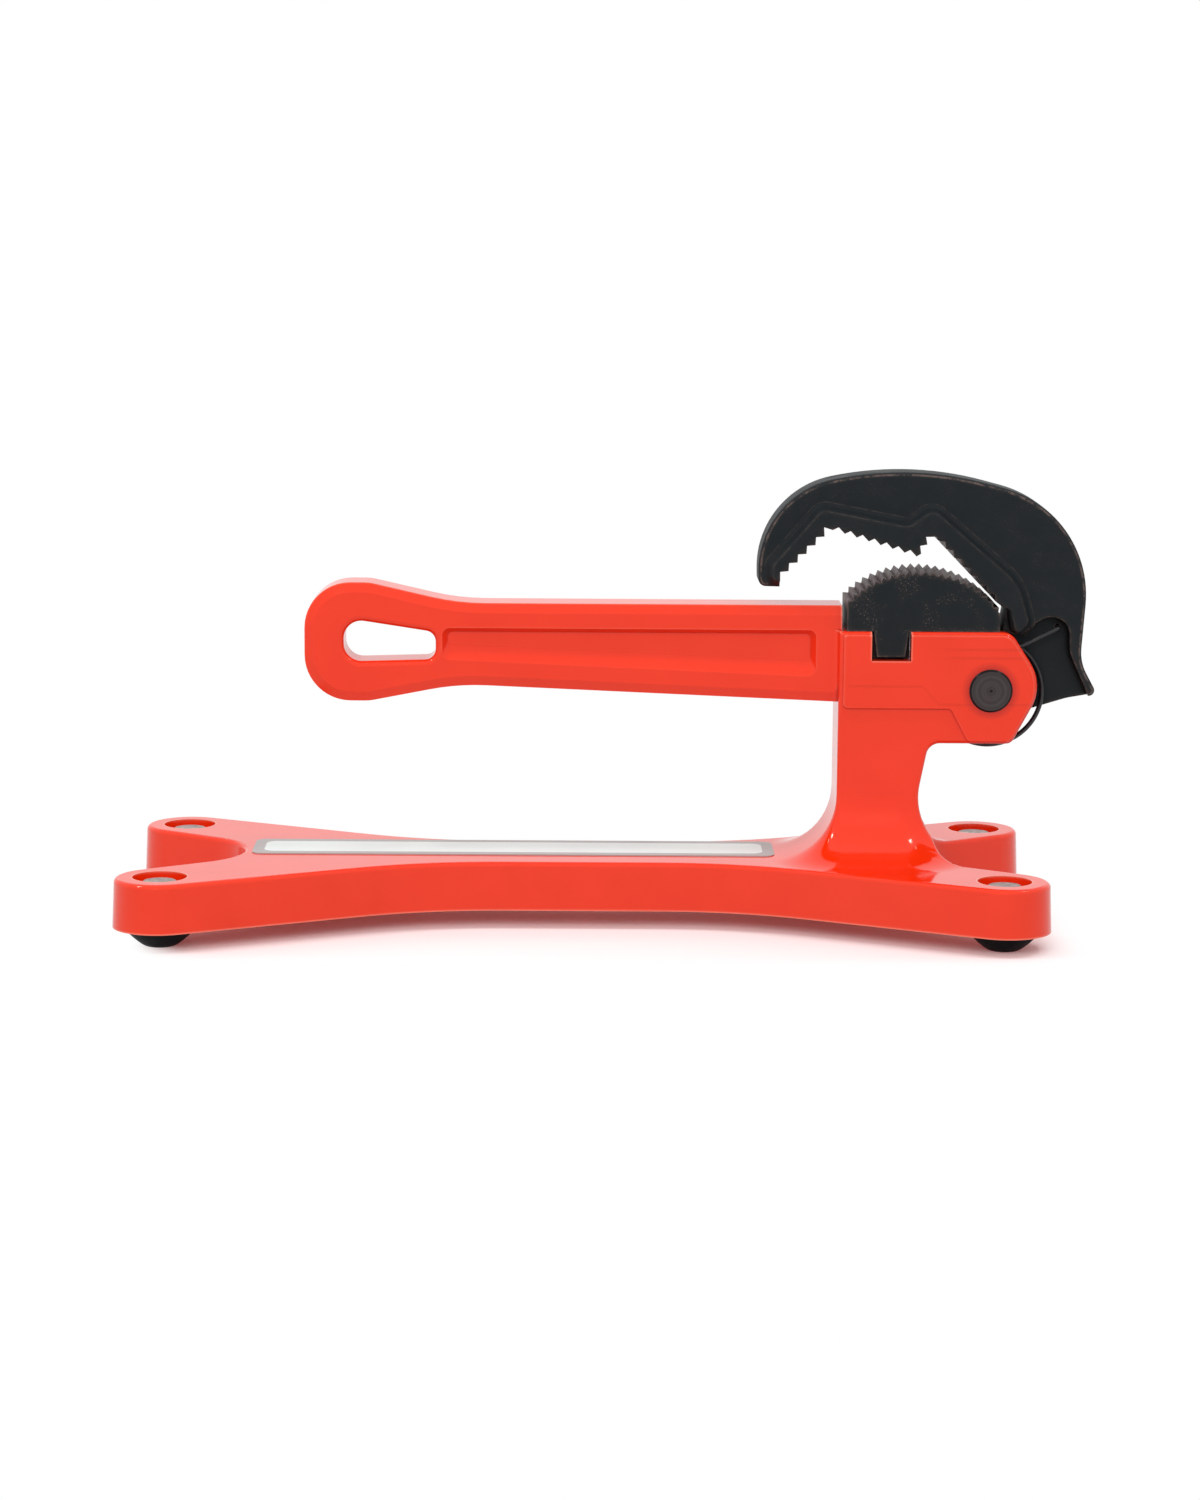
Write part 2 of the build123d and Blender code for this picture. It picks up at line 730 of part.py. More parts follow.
with BuildPart() as pivot_pin:
    with BuildSketch(Plane.XZ.offset(pin_front)):
        with Locations((pin_x, pin_height)):
            Circle(pin_radius)
    extrude(amount=-(pin_front + pin_back))
    chamfer(pivot_pin.edges(), pin_end_chamfer)
    with BuildSketch(Plane.XZ.offset(-groove_start)):
        with Locations((pin_x, pin_height)):
            Circle(pin_radius)
            Circle(groove_radius, mode=Mode.SUBTRACT)
    extrude(amount=groove_start - groove_end, mode=Mode.SUBTRACT)
    with BuildSketch(Plane.XZ.offset(pin_front)):
        with Locations((pin_x, pin_height)):
            Circle(pin_centre_mark)
    extrude(amount=-pin_centre_mark, taper=pin_centre_taper, mode=Mode.SUBTRACT)
write(pivot_pin, "pivot_pin")

with BuildPart() as pin_washer:
    with BuildSketch(Plane.XZ.offset(-pad_face)):
        with Locations((pin_x, pin_height)):
            Circle(washer_radius)
            Circle(pin_radius + running_clearance, mode=Mode.SUBTRACT)
    extrude(amount=-washer_thickness)
write(pin_washer, "pin_washer")

with BuildPart() as pin_retaining_ring:
    with BuildSketch(Plane.XZ.offset(-(groove_start + groove_clearance))):
        with Locations((pin_x, pin_height)):
            Circle(ring_radius)
            Circle(groove_radius + groove_clearance, mode=Mode.SUBTRACT)
            Rectangle(ring_opening, ring_radius + 1, align=(Align.CENTER, Align.MAX), mode=Mode.SUBTRACT)
    extrude(amount=-ring_thickness)
write(pin_retaining_ring, "pin_retaining_ring")

# The blank label, stuck flat on the base
with BuildPart() as label_plate:
    with BuildSketch(Plane((base_centre + label_shift_x, label_shift_y, base_top))):
        RectangleRounded(label_length, label_width, label_radius)
    extrude(amount=label_thickness)
write(label_plate, "label_plate")

# The four feet, each with its moulded-in stud and the round nut that holds it
plate_bottom = foot_height - stud_embed
nut_bottom = base_top - counterbore_depth
stud_top = nut_bottom + stud_thread_depth - thread_clearance


def stud_profile(gap):
    """Half the stud and its plate, with a gap all round, drawn beside its axis."""
    with BuildSketch() as half:
        with Locations((0, plate_bottom - gap)):
            Rectangle(stud_plate_radius + gap, stud_plate_thickness + 2 * gap, align=Align.MIN)
            Rectangle(stud_radius + gap, stud_top - plate_bottom + gap, align=Align.MIN)
    return half.sketch


def foot_profile():
    """Half the rubber buffer, drawn beside its axis."""
    with BuildSketch() as half:
        with BuildLine():
            floor_line = Line((0, 0), (foot_bottom_radius, 0))
            side = TangentArc(floor_line @ 1, (foot_top_radius, foot_height - foot_rim), tangent=(1, 0))
            Polyline(side @ 1, (foot_top_radius, foot_height), (0, foot_height), (0, 0))
        make_face()
    return half.sketch


for corner, (x, y) in foot_places.items():
    upright = Plane((x, y, 0), x_dir=(1, 0, 0), z_dir=(0, -1, 0))
    foot_axis = Axis((x, y, 0), (0, 0, 1))
    with BuildPart() as foot:
        with BuildSketch(upright):
            add(foot_profile())
            add(stud_profile(moulding_clearance), mode=Mode.SUBTRACT)
        revolve(axis=foot_axis)
    write(foot, f"foot_{corner}")
    with BuildPart() as foot_stud:
        with BuildSketch(upright):
            add(stud_profile(0))
        revolve(axis=foot_axis)
    write(foot_stud, f"foot_stud_{corner}")
    with BuildPart() as foot_nut:
        with BuildSketch(Plane((x, y, nut_bottom))):
            Circle(nut_radius)
        extrude(amount=counterbore_depth - nut_recess)
        chamfer(foot_nut.faces().sort_by(Axis.Z)[-1].edges(), nut_edge)
        with BuildSketch(Plane((x, y, nut_bottom))):
            Circle(stud_radius + thread_clearance)
        extrude(amount=stud_thread_depth, mode=Mode.SUBTRACT)
    write(foot_nut, f"foot_nut_{corner}")
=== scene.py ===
import math

import bpy
import numpy as np
from mathutils import Matrix, Vector


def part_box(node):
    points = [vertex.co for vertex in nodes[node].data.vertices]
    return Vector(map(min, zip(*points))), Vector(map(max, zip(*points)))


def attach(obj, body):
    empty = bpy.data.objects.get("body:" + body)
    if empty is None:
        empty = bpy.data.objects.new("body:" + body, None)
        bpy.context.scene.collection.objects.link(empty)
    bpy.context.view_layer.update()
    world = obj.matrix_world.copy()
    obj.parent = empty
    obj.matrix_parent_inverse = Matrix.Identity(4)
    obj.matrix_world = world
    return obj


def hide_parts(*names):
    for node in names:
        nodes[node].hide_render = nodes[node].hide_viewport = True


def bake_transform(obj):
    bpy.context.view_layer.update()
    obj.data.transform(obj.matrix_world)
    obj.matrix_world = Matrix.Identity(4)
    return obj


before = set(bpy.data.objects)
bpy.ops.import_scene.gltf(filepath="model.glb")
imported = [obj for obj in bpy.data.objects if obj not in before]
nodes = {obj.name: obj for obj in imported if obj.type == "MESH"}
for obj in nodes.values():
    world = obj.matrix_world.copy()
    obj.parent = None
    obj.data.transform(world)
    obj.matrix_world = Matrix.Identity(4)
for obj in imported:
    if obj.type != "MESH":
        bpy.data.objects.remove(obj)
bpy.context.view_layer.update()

# The view: a long lens about 1.3 m in front of the vise, a little above it, looking slightly
# down. It is turned and rolled by less than a degree, and stands by the middle of the feet.
foot_names = [f"foot_{end}_{side}" for end in ("front", "back") for side in ("left", "right")]
foot_boxes = [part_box(name) for name in foot_names]
foot_middles = [(low + high) / 2 for low, high in foot_boxes]
base_middle_x = sum(middle.x for middle in foot_middles) / 4
camera_place = Vector((base_middle_x - 0.004334, -1.29536, 0.282479))
camera_pitch = math.radians(9.590)
camera_yaw = math.radians(-0.4716)
camera_roll = math.radians(0.4187)
focal_pixels = 3522.27
picture_height = 1500

ahead = math.cos(camera_pitch)
aside = -math.sin(camera_yaw)
forward = Vector((aside * ahead, math.cos(camera_yaw) * ahead, -math.sin(camera_pitch)))
level_right = Vector((math.cos(camera_yaw), math.sin(camera_yaw), 0))
level_up = level_right.cross(forward)
right = math.cos(camera_roll) * level_right + math.sin(camera_roll) * level_up
up = math.cos(camera_roll) * level_up - math.sin(camera_roll) * level_right

camera_data = bpy.data.cameras.new("camera")
camera_data.sensor_width = 36
camera_data.lens = focal_pixels * camera_data.sensor_width / picture_height
camera = bpy.data.objects.new("camera", camera_data)
bpy.context.scene.collection.objects.link(camera)
camera.matrix_world = Matrix((right, up, -forward)).transposed().to_4x4()
camera.location = camera_place
bpy.context.scene.camera = camera
bpy.context.scene.view_settings.view_transform = "Standard"

# The studio: a white room, a white floor that keeps the vise's soft shadow and turns into
# plain white further out, and soft boxes above and in front. The two small ones draw points
# of light on the enamel.
room_light = 0.74
room_seen = 1.0
floor_reach = 12.0
floor_white = (0.93, 0.93, 0.93, 1)
floor_bounce = (0.50, 0.50, 0.50, 1)
# Painted light: a red glow on the floor near the vise, seen only by the camera, for light bounced
# off the enamel
painted_bounce_colour = (1.0, 0.19, 0.17, 1)
painted_bounce_strength = 0.172
shadow_reach = 0.012
white_reach = 0.031
lamp_target = Vector((0, 0, 0.08))

# Each lamp's place, width, height, power in watts, and whether the enamel mirrors it
soft_boxes = {
    "lamp_strip": ((0.0, -0.20, 1.40), 1.70, 0.26, 1.5, False),
    "lamp_above_left": ((-0.95, -0.25, 1.30), 0.16, 0.16, 3.0, True),
    "lamp_above_right": ((0.90, -0.25, 1.30), 0.14, 0.14, 2.2, True),
    "lamp_front": ((-0.20, -1.60, 0.95), 1.20, 0.70, 12.6, False),
}


def add_node(tree, kind, inputs=(), **settings):
    """A shader node, with its settings made and its inputs set to values or linked."""
    node = tree.nodes.new("ShaderNode" + kind)
    for name, value in settings.items():
        setattr(node, name, value)
    for name, value in dict(inputs).items():
        if isinstance(value, bpy.types.NodeSocket):
            tree.links.new(value, node.inputs[name])
        else:
            node.inputs[name].default_value = value
    return node


def reckon(tree, operation, *values):
    """The result of one operation on one or two values."""
    return add_node(tree, "Math", dict(enumerate(values)), operation=operation).outputs[0]


def reckon_vector(tree, operation, *vectors, result="Vector"):
    """The result of one operation on one or two vectors, as a vector or as a value."""
    node = add_node(tree, "VectorMath", dict(enumerate(vectors)), operation=operation)
    return node.outputs[result]


def times(tree, first, second):
    """The product of two values."""
    return reckon(tree, "MULTIPLY", first, second)


def span(tree, value, low, high, start=0.0, end=1.0, course="LINEAR"):
    """A value that goes from start to end while another goes from low to high."""
    limits = {"Value": value, "From Min": low, "From Max": high, "To Min": start, "To Max": end}
    return add_node(tree, "MapRange", limits, interpolation_type=course).outputs[0]


def blend_colours(tree, share, first, second):
    """One colour turning into another by a share from 0 to 1."""
    colours = {"Factor": share, 6: first, 7: second}
    return add_node(tree, "Mix", colours, data_type="RGBA").outputs[2]


def object_place(tree):
    """The place on the object, in metres in the shared frame."""
    return add_node(tree, "TexCoord").outputs["Object"]


def seen_ray(tree):
    """1 for rays from the camera, from a reflection or through glass, and 0 for the light."""
    path = add_node(tree, "LightPath").outputs
    seen = reckon(tree, "MAXIMUM", path["Is Camera Ray"], path["Is Glossy Ray"])
    return reckon(tree, "MAXIMUM", seen, path["Is Transmission Ray"])


room = bpy.data.worlds.new("white_room")
bpy.context.scene.world = room
room.use_nodes = True
tree = room.node_tree
tree.nodes.clear()
room_strength = span(tree, seen_ray(tree), 0.0, 1.0, room_light, room_seen)
room_glow = add_node(tree, "Background", {"Color": (1, 1, 1, 1), "Strength": room_strength})
add_node(tree, "OutputWorld", {"Surface": room_glow.outputs[0]})

floor_corners = [(-1, -1), (1, -1), (1, 1), (-1, 1)]
floor_points = [(x * floor_reach, y * floor_reach, 0) for x, y in floor_corners]
floor_mesh = bpy.data.meshes.new("floor")
floor_mesh.from_pydata(floor_points, [], [(0, 1, 2, 3)])
floor = bpy.data.objects.new("floor", floor_mesh)
bpy.context.scene.collection.objects.link(floor)

# The floor is lit out to a little way past the feet, and plain white from there on. Near the
# vise the camera also sees a painted red glow on it: painted light bounced off the enamel.
floor_paint = bpy.data.materials.new("floor_white")
floor_paint.use_nodes = True
tree = floor_paint.node_tree
tree.nodes.clear()
floor_seen = seen_ray(tree)
feet_corner = (foot_middles[3].x, foot_middles[3].y, 0)
floor_folded = reckon_vector(tree, "ABSOLUTE", object_place(tree))
floor_beyond = reckon_vector(tree, "SUBTRACT", floor_folded, feet_corner)
floor_outward = reckon_vector(tree, "MAXIMUM", floor_beyond, (0, 0, 0))
floor_distance = reckon_vector(tree, "LENGTH", floor_outward, result="Value")
floor_far = span(tree, floor_distance, shadow_reach, white_reach, course="SMOOTHSTEP")
floor_plain = times(tree, floor_far, floor_seen)
floor_shade = blend_colours(tree, floor_seen, floor_bounce, floor_white)
floor_matte = add_node(tree, "BsdfDiffuse", {"Color": floor_shade})
painted_bounce_share = times(tree, floor_seen, painted_bounce_strength)
floor_glow = add_node(tree, "Emission", {"Color": painted_bounce_colour, "Strength": painted_bounce_share})
floor_lit = add_node(tree, "AddShader", {0: floor_matte.outputs[0], 1: floor_glow.outputs[0]})
floor_bare = add_node(tree, "Emission", {"Strength": 1.0})
floor_shaders = {"Fac": floor_plain, 1: floor_lit.outputs[0], 2: floor_bare.outputs[0]}
floor_mix = add_node(tree, "MixShader", floor_shaders)
add_node(tree, "OutputMaterial", {"Surface": floor_mix.outputs[0]})
floor_mesh.materials.append(floor_paint)

for lamp_name, (place, width, height, power, mirrored) in soft_boxes.items():
    lamp_data = bpy.data.lights.new(lamp_name, "AREA")
    lamp_data.shape = "RECTANGLE"
    lamp_data.size = width
    lamp_data.size_y = height
    lamp_data.energy = power
    lamp = bpy.data.objects.new(lamp_name, lamp_data)
    lamp.location = place
    lamp.visible_glossy = mirrored
    aim = lamp_target - lamp.location
    lamp.rotation_euler = aim.to_track_quat("-Z", "Y").to_euler()
    bpy.context.scene.collection.objects.link(lamp)

# The body: one ductile iron casting, the base with its legs, the post, the head and the arm,
# sprayed with a thick gloss enamel. The enamel levels out the sand grain to a slight orange
# peel. Its colour is painted darker in the inner corners, partly for enamel that pools there
# and partly as painted shade, with a painted shadow round the pin. Edges that face up are
# painted lighter, as painted highlights.
enamel_colour = (0.87, 0.028, 0.0030, 1)
# A deeper red: random mottle and enamel pooled in the corners, and also painted shade in the
# corners and a painted shadow round the pin
enamel_deep_and_shaded = (0.50, 0.007, 0.0015, 1)
# Painted highlight colour for edges that face up
enamel_painted_highlight = (1.0, 0.40, 0.28, 1)
enamel_shine = (1.0, 0.90, 0.78, 1)
enamel_edge_reach = 0.0011
crevice_pool_and_shade = 0.85
enamel_mottle = 0.10
enamel_roughness = (0.08, 0.14)
enamel_peel_scale = 620.0
enamel_peel_depth = 0.000016
enamel_swell_scale = 45.0
edge_facing = (-0.35, 0.15)
painted_highlight_shares = (0.05, 0.70)
pin_shade_reach = 0.0030
pin_shade = 0.9
mask_rays = 8
usual_tones = (0.3, 0.7)

# The low steps on the head's pads, measured from the pin
terrace_level = 0.0015
terrace_left = 0.0524
terrace_turn = 0.0250
terrace_foot = -0.0052
terrace_slant = (0.748, 0, 0.663)
terrace_width = 0.0006
terrace_height = 0.00060
shelf_levels = (0.0121, 0.0152)
shelf_left = 0.0200
shelf_full = 0.0100


def new_group(name, sockets):
    """A shader node group with its inputs and outputs, and the nodes that lead to them."""
    kinds = {"vector": "NodeSocketVector", "colour": "NodeSocketColor"}
    group = bpy.data.node_groups.new(name, "ShaderNodeTree")
    for label, side, value in sockets:
        kind = kinds.get(value, "NodeSocketFloat")
        socket = group.interface.new_socket(name=label, in_out=side, socket_type=kind)
        if side == "INPUT" and kind == "NodeSocketFloat":
            socket.default_value = value
    entry = group.nodes.new("NodeGroupInput").outputs
    leave = group.nodes.new("NodeGroupOutput").inputs
    return group, entry, leave


def use_group(tree, group, inputs=()):
    """What one use of a node group gives out, with its own values put in."""
    return add_node(tree, "Group", inputs, node_tree=group).outputs


def cast_skin_group():
    """A cast or forged skin: fine grain on a slow swell, as a height and as a tone."""
    group, entry, leave = new_group("cast_skin", [
        ("Grain scale", "INPUT", 1000.0),
        ("Swell scale", "INPUT", 40.0),
        ("Height", "OUTPUT", 0.0),
        ("Tone", "OUTPUT", 0.0),
    ])
    place = object_place(group)
    grain = add_node(
        group, "TexNoise",
        {"Vector": place, "Scale": entry["Grain scale"], "Detail": 3.0, "Roughness": 0.55},
    )
    swell = add_node(
        group, "TexNoise",
        {"Vector": place, "Scale": entry["Swell scale"], "Detail": 2.0, "Roughness": 0.5},
    )
    layers = {"Factor": 0.35, 2: grain.outputs["Fac"], 3: swell.outputs["Fac"]}
    group.links.new(add_node(group, "Mix", layers).outputs[0], leave["Height"])
    group.links.new(swell.outputs["Fac"], leave["Tone"])
    return group


def edge_masks_group():
    """Where a surface turns outwards or inwards within a short reach, both from 0 to 1.

    The outward mask is the share of short rays into the metal that come out again, and the
    inward mask is the share of short rays into the air that meet the same piece.
    """
    group, entry, leave = new_group("edge_masks", [
        ("Reach", "INPUT", 0.001),
        ("Edge", "OUTPUT", 0.0),
        ("Crevice", "OUTPUT", 0.0),
    ])
    for label, inside, low, high in (("Edge", True, 0.12, 0.55), ("Crevice", False, 0.10, 0.60)):
        open_share = add_node(
            group, "AmbientOcclusion", {"Distance": entry["Reach"]},
            inside=inside, only_local=True, samples=mask_rays,
        ).outputs["AO"]
        group.links.new(span(group, open_share, 1 - low, 1 - high), leave[label])
    return group


def new_material(name, **constants):
    """A material with one Principled shader, whose plain values are set on its own sockets."""
    material = bpy.data.materials.new(name)
    material.use_nodes = True
    shader = material.node_tree.nodes["Principled BSDF"]
    for label, value in constants.items():
        shader.inputs[label.replace("_", " ")].default_value = value
    return material, material.node_tree, shader


def feed(tree, shader, **results):
    """Link colours and values that change over the surface to the shader's sockets."""
    for label, result in results.items():
        tree.links.new(result, shader.inputs[label.replace("_", " ")])


def by_tone(tree, skin, start, end):
    """A value that goes from start to end with the slow swell of a skin."""
    return span(tree, skin["Tone"], *usual_tones, start, end)


def add_relief(tree, shader, height, depth):
    """Raise the surface by a height from 0 to 1, times a depth in metres."""
    relief = add_node(tree, "Bump", {"Height": height, "Distance": depth, "Strength": 1.0})
    feed(tree, shader, Normal=relief.outputs[0])
    return relief


def finish_node(name, material):
    """Give every material slot of a CAD piece one finish."""
    slots = nodes[name].data.materials
    for place in range(len(slots)):
        slots[place] = material


def middle_of(low, high):
    """The middle of a box."""
    return (low + high) / 2


def from_axis(tree, x, z):
    """The distance from a line along Y through a place on the front."""
    flat = reckon_vector(tree, "MULTIPLY", object_place(tree), (1, 0, 1))
    return reckon_vector(tree, "DISTANCE", flat, (x, 0, z), result="Value")


def facing(tree, axis, normal="Normal"):
    """How far the surface faces along an axis, from -1 to 1."""
    turned = add_node(tree, "NewGeometry").outputs[normal]
    return add_node(tree, "SeparateXYZ", {0: turned}).outputs[axis]


def pad_terraces(tree, pin):
    """The low steps left in the head's pads by the pattern, as a height from 0 to 1.

    Each step is where a distance passes zero. The lower one runs level, drops along a slant
    and runs level again; the upper two are level and fade out to the left of the pin.
    """
    from_pin = reckon_vector(tree, "SUBTRACT", object_place(tree), pin)
    parts = add_node(tree, "SeparateXYZ", {0: from_pin}).outputs
    across, above = parts["X"], parts["Z"]
    turn = reckon_vector(tree, "SUBTRACT", from_pin, (-terrace_turn, 0, terrace_level))
    slant = reckon_vector(tree, "DOT_PRODUCT", turn, terrace_slant, result="Value")
    lower = reckon(tree, "MINIMUM", slant, reckon(tree, "SUBTRACT", above, terrace_foot))
    lower = reckon(tree, "MAXIMUM", reckon(tree, "SUBTRACT", above, terrace_level), lower)
    lower = reckon(tree, "MINIMUM", lower, reckon(tree, "ADD", across, terrace_left))
    shelf_share = span(tree, across, -shelf_left, -shelf_full)
    shelves = [(reckon(tree, "SUBTRACT", above, level), shelf_share) for level in shelf_levels]
    steps = [(lower, 1.0)] + shelves
    total = 0.0
    for edge, share in steps:
        step = span(tree, edge, -terrace_width, terrace_width, course="SMOOTHSTEP")
        raised = times(tree, times(tree, step, share), 1 / len(steps))
        total = reckon(tree, "ADD", raised, total)
    return total


cast_skin = cast_skin_group()
edge_masks = edge_masks_group()
pin_low, pin_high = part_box("pivot_pin")
pin_middle = middle_of(pin_low, pin_high)
pin_radius = (pin_high.x - pin_low.x) / 2
pin_shade_end = pin_radius + pin_shade_reach

enamel, tree, shader = new_material(
    "red_enamel", Specular_IOR_Level=0.5, IOR=1.5, Specular_Tint=enamel_shine,
)
peel_scales = {"Grain scale": enamel_peel_scale, "Swell scale": enamel_swell_scale}
peel = use_group(tree, cast_skin, peel_scales)
masks = use_group(tree, edge_masks, {"Reach": enamel_edge_reach})
pin_out = from_axis(tree, pin_middle.x, pin_middle.z)
# Painted shadow round the proud pin, and painted shade in the inner corners, partly enamel
# pooling
painted_pin_shadow = span(tree, pin_out, pin_radius, pin_shade_end, pin_shade, 0.0)
pooled_and_shaded_share = reckon(tree, "MAXIMUM", times(tree, masks["Crevice"], crevice_pool_and_shade), painted_pin_shadow)
colour = blend_colours(tree, pooled_and_shaded_share, enamel_colour, enamel_deep_and_shaded)
# Painted highlights: edges that face up are painted lighter, though not close round the pin
painted_highlight_share = span(tree, facing(tree, "Z"), *edge_facing, *painted_highlight_shares)
painted_highlight_share = times(tree, masks["Edge"], painted_highlight_share)
off_pin = span(tree, pin_out, pin_radius + pin_shade_reach / 3, pin_shade_end)
painted_highlight_share = times(tree, painted_highlight_share, off_pin)
colour = blend_colours(tree, painted_highlight_share, colour, enamel_painted_highlight)
colour = blend_colours(tree, by_tone(tree, peel, 0.0, enamel_mottle), colour, enamel_deep_and_shaded)
feed(tree, shader, Base_Color=colour, Roughness=by_tone(tree, peel, *enamel_roughness))
relief = add_relief(tree, shader, peel["Height"], enamel_peel_depth)
terraces = {"Height": pad_terraces(tree, pin_middle), "Distance": terrace_height, "Strength": 1.0}
tree.links.new(add_node(tree, "Bump", terraces).outputs[0], relief.inputs["Normal"])
finish_node("body_casting", enamel)

# The two jaws: steel forgings, blackened and oiled. The hook turns on the pin, and the heel
# sits in the head's notch. Their teeth are cut afterwards, which leaves brownish bare
# flanks, and handling has rubbed the black off the sharp edges. Their colour also has painted
# shade in the coves and a painted sheen on the rounded crests.
jaw_black = (0.0116, 0.0145, 0.0165, 1)
jaw_dusty = (0.020, 0.022, 0.024, 1)
# Painted shade for the coves and a painted sheen for the rounded crests
jaw_painted_shade = (0.0016, 0.0018, 0.0020, 1)
jaw_painted_sheen = (0.040, 0.036, 0.034, 1)
jaw_bare = (0.125, 0.090, 0.082, 1)
jaw_tooth = (0.125, 0.082, 0.082, 1)
jaw_gloss = 0.12
jaw_roughness = (0.44, 0.56)
jaw_bare_metal = 0.55
jaw_edge_reach = 0.0010
jaw_round_reach = 0.0028
jaw_sheen_share = 0.40
jaw_dust = 0.35
jaw_grain_scale = 1500.0
jaw_grain_depth = 0.00004
jaw_swell_scale = 120.0
rubbed_scale = 260.0
rubbed_tones = (0.42, 0.58)
speck_scale = 1500.0
speck_tones = (0.58, 0.68)
cluster_tones = (0.48, 0.62)
dust_tones = (0.35, 0.70)
cove_shade_masks = (0.02, 0.50)
speck_share = {"heel_jaw": 1.0, "hook_jaw": 0.10}
heel_crown_radius = 0.0381
heel_tooth_depth = 0.0018
heel_crown_reach = 0.0265
mouth_middle = (-0.038, 0.030)
mouth_radius = 0.0395
mouth_blend = 0.002
flank_turn = (0.30, 0.12)
hook_web_half = 0.0082
hook_rail_step = 0.0001
hook_rim_depth = 0.0006
hook_rim_start = (0.995, 0.97)
hook_rim_end = (0.72, 0.82)
hook_soft_radius = 0.0022
hook_soft_rays = 6


def blackened_group():
    """Blackened steel: worn at the edges, bare on the cut teeth, speckled with wear, with painted
    shade in coves and a painted sheen on rounded crests.
    """
    group, entry, leave = new_group("blackened_steel", [
        ("Cut", "INPUT", 0.0),
        ("Handled", "INPUT", 0.0),
        ("Specks", "INPUT", 0.5),
        ("Colour", "OUTPUT", "colour"),
        ("Roughness", "OUTPUT", 0.0),
        ("Metallic", "OUTPUT", 0.0),
        ("Height", "OUTPUT", 0.0),
    ])
    skin_scales = {"Grain scale": jaw_grain_scale, "Swell scale": jaw_swell_scale}
    skin = use_group(group, cast_skin, skin_scales)
    masks = use_group(group, edge_masks, {"Reach": jaw_edge_reach})
    forms = use_group(group, edge_masks, {"Reach": jaw_round_reach})
    place = object_place(group)
    patches = add_node(
        group, "TexNoise",
        {"Vector": place, "Scale": rubbed_scale, "Detail": 4.0, "Roughness": 0.7},
    ).outputs["Fac"]
    specks = add_node(
        group, "TexNoise",
        {"Vector": place, "Scale": speck_scale, "Detail": 2.0, "Roughness": 0.5},
    ).outputs["Fac"]
    touched = reckon(group, "MAXIMUM", masks["Edge"], entry["Handled"])
    rubbed = times(group, touched, span(group, patches, *rubbed_tones, 0.05, 1.0))
    clusters = times(group, span(group, skin["Tone"], *cluster_tones), entry["Specks"])
    fleck = times(group, span(group, specks, *speck_tones), clusters)
    worn = reckon(group, "MAXIMUM", rubbed, fleck)
    dusted = span(group, skin["Tone"], *dust_tones, 0.0, jaw_dust)
    # Painted sheen on the rounded crests and painted shade in the coves
    sheen_share = times(group, forms["Edge"], jaw_sheen_share)
    shaded = span(group, forms["Crevice"], *cove_shade_masks)
    colour = blend_colours(group, dusted, jaw_black, jaw_dusty)
    colour = blend_colours(group, sheen_share, colour, jaw_painted_sheen)
    colour = blend_colours(group, shaded, colour, jaw_painted_shade)
    colour = blend_colours(group, entry["Cut"], colour, jaw_tooth)
    colour = blend_colours(group, worn, colour, jaw_bare)
    bare = reckon(group, "MAXIMUM", worn, entry["Cut"])
    group.links.new(colour, leave["Colour"])
    group.links.new(by_tone(group, skin, *jaw_roughness), leave["Roughness"])
    group.links.new(times(group, bare, jaw_bare_metal), leave["Metallic"])
    group.links.new(skin["Height"], leave["Height"])
    return group


def flank(tree):
    """1 where the surface faces along the jaw's outline, and 0 on the jaw's two sides."""
    turned = reckon(tree, "ABSOLUTE", facing(tree, "Y", "True Normal"))
    return span(tree, turned, *flank_turn)


def sweep_rim(tree):
    """1 where the hook's side starts to turn over into its rounded outer edge."""
    across = add_node(tree, "SeparateXYZ", {0: object_place(tree)}).outputs["Y"]
    across = reckon(tree, "ABSOLUTE", across)
    sideways = reckon(tree, "ABSOLUTE", facing(tree, "Y"))
    turning = times(
        tree, span(tree, sideways, *hook_rim_start), span(tree, sideways, *hook_rim_end),
    )
    rim_low = hook_web_half - hook_rim_depth
    near_side = span(tree, across, rim_low, rim_low + hook_rim_depth / 2)
    off_rail = span(tree, across, hook_web_half + hook_rail_step, hook_web_half)
    return times(tree, turning, times(tree, near_side, off_rail))


blackened = blackened_group()

# Where each jaw's teeth are: round a middle on the front, between two distances from it
heel_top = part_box("heel_jaw")[1].z
cut_teeth = {
    "heel_jaw": (
        pin_middle.x - heel_crown_reach, heel_top - heel_crown_radius,
        heel_crown_radius - 1.5 * heel_tooth_depth, heel_crown_radius - heel_tooth_depth,
    ),
    "hook_jaw": (
        pin_middle.x + mouth_middle[0], pin_middle.z + mouth_middle[1],
        mouth_radius, mouth_radius - mouth_blend,
    ),
}
for jaw, (x, z, cut_start, cut_full) in cut_teeth.items():
    forging, tree, shader = new_material(f"black_{jaw}", Specular_IOR_Level=jaw_gloss)
    near_teeth = span(tree, from_axis(tree, x, z), cut_start, cut_full)
    wear = {"Cut": times(tree, near_teeth, flank(tree)), "Specks": speck_share[jaw]}
    if jaw == "hook_jaw":
        wear["Handled"] = sweep_rim(tree)
    finish = use_group(tree, blackened, wear)
    feed(tree, shader, Base_Color=finish["Colour"])
    feed(tree, shader, Roughness=finish["Roughness"], Metallic=finish["Metallic"])
    relief = add_relief(tree, shader, finish["Height"], jaw_grain_depth)
    if jaw == "hook_jaw":
        soft = add_node(tree, "Bevel", {"Radius": hook_soft_radius}, samples=hook_soft_rays)
        tree.links.new(soft.outputs[0], relief.inputs["Normal"])
    finish_node(jaw, forging)

